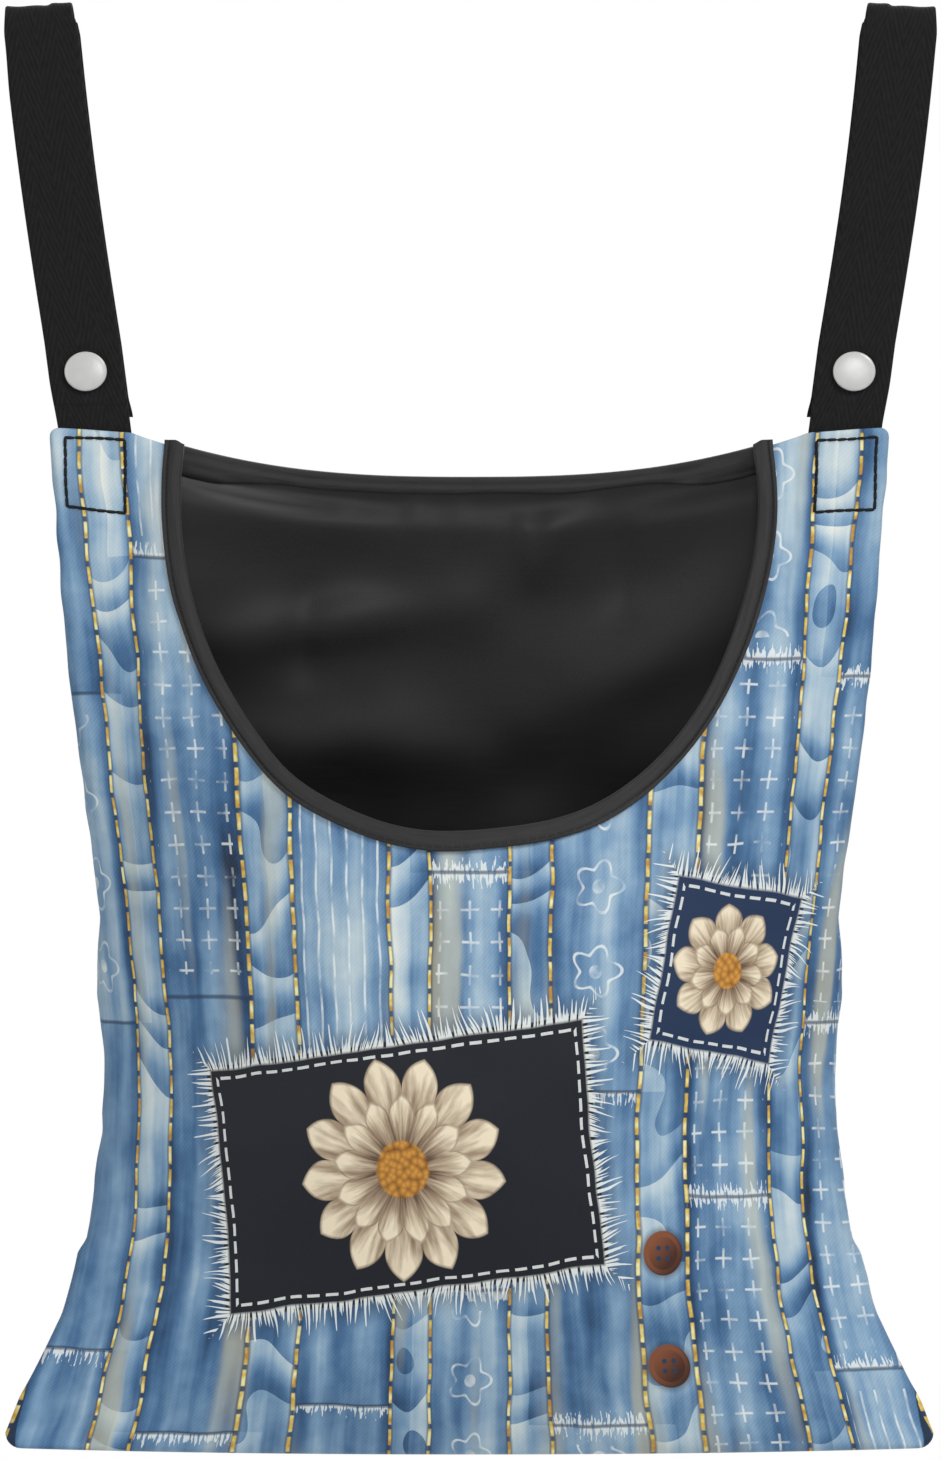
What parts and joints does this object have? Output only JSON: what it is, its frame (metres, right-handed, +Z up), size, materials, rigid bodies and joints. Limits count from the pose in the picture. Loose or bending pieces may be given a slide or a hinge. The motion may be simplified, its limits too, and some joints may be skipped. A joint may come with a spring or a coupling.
{
  "type": "peg bag",
  "caption": "Hanging cloth pouch for clothes pegs, with a U-shaped bound mouth in front and snap straps that loop over a clothes line.",
  "frame": {"origin": "on the clothes line's axis, midway between the two strap loops", "axes": "+Z up, +X to the viewer's right along the line, front of the bag towards -Y"},
  "size_m": [0.3104, 0.0948, 0.4782],
  "materials": {
    "printed_cloth": "printed plain-weave polyester, denim patchwork print, soft satin",
    "lining_cloth": "smooth black lining cloth with a soft sheen",
    "binding_tape": "charcoal folded binding tape, matt",
    "strap_tape": "black herringbone tape, matt",
    "sewing_thread": "black sewing thread",
    "snap_plastic": "white moulded plastic, glossy"
  },
  "bodies": {
    "straps": {"left_strap": "strap_tape", "left_snap_front_cap": "snap_plastic", "left_snap_socket": "snap_plastic", "right_strap": "strap_tape", "right_snap_front_cap": "snap_plastic", "right_snap_socket": "snap_plastic"},
    "bag": {"front_panel": "printed_cloth", "back_panel": "printed_cloth", "front_lining": "lining_cloth", "back_lining": "lining_cloth", "mouth_binding": "binding_tape", "back_top_hem": "binding_tape", "left_strap_sewn_end": "strap_tape", "left_box_stitch": "sewing_thread", "right_strap_sewn_end": "strap_tape", "right_box_stitch": "sewing_thread"},
    "left_tail": {"left_strap_tail": "strap_tape", "left_snap_stud": "snap_plastic", "left_snap_rear_cap": "snap_plastic"},
    "right_tail": {"right_strap_tail": "strap_tape", "right_snap_stud": "snap_plastic", "right_snap_rear_cap": "snap_plastic"}
  },
  "joints": [
    {"name": "bag_swing", "type": "hinge", "parent": "straps", "child": "bag", "pos_m": [0, 0, -0.1328], "axis": [1, 0, 0], "range_deg": [-90, 90]},
    {"name": "left_tail_open", "type": "hinge", "parent": "straps", "child": "left_tail", "pos_m": [-0.14163, 0.0069, -0.0002], "axis": [1, 0, 0], "range_deg": [0, 150]},
    {"name": "right_tail_open", "type": "hinge", "parent": "straps", "child": "right_tail", "pos_m": [0.14163, 0.0069, -0.0002], "axis": [1, 0, 0], "range_deg": [0, 150]}
  ]
}
